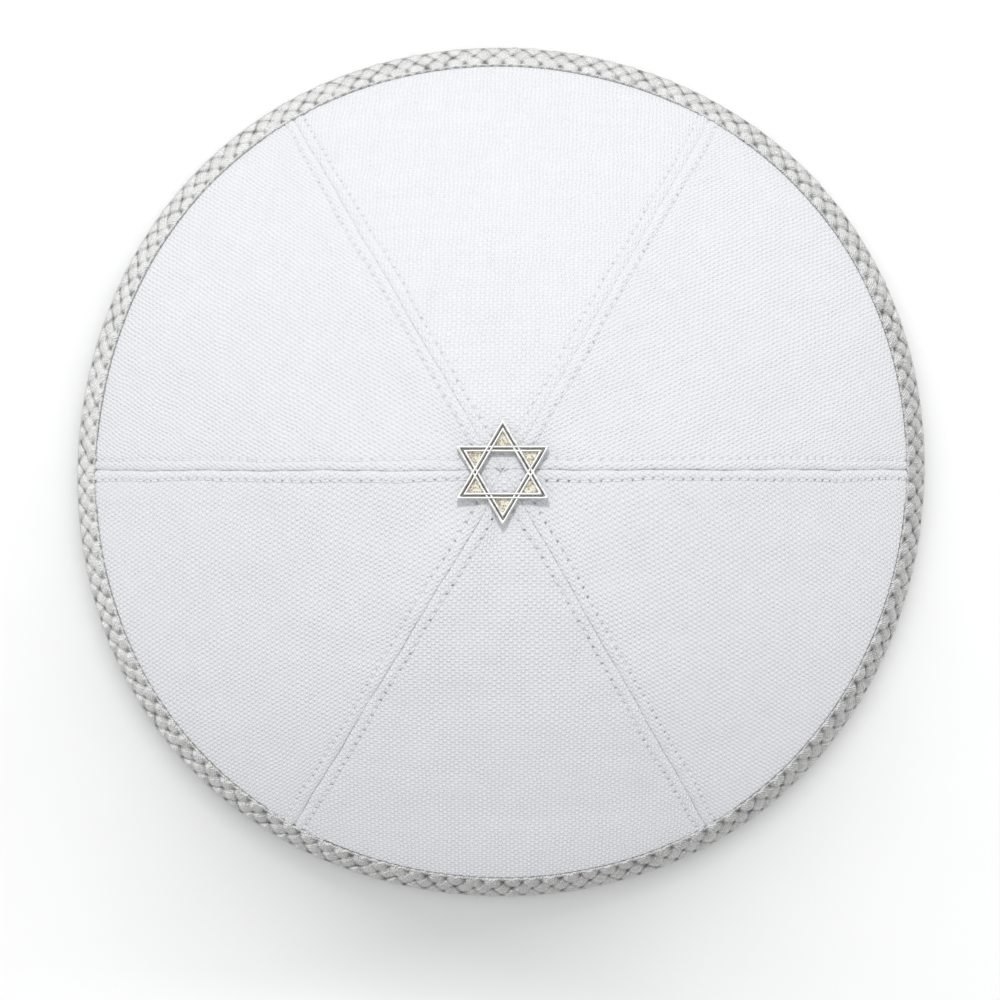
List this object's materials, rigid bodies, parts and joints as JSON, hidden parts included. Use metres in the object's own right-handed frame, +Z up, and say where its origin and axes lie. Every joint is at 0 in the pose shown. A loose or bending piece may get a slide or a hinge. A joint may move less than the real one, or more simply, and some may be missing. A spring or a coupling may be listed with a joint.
{
  "type": "kippah skullcap",
  "caption": "Round domed linen skullcap sewn from gores, with a braid-bound rim and a small metal star charm at the crown; rests on its rim.",
  "frame": {"origin": "middle of the rim, at the height of the surface the cap rests on", "axes": "+Z up through the crown; +Y through the middle of a gore and the star's upright point; one seam along X"},
  "size_m": [0.1699, 0.1699, 0.0479],
  "materials": {
    "linen": "matt white plain-weave linen",
    "silver_braid": "silver lurex flat braid, soft metallic lustre",
    "bright_silver": "polished cast white metal with sunk matt cells"
  },
  "bodies": {
    "root": {"panel_1": "linen", "panel_2": "linen", "panel_3": "linen", "panel_4": "linen", "panel_5": "linen", "panel_6": "linen", "rim_binding": "silver_braid", "star_charm": "bright_silver"}
  },
  "joints": []
}
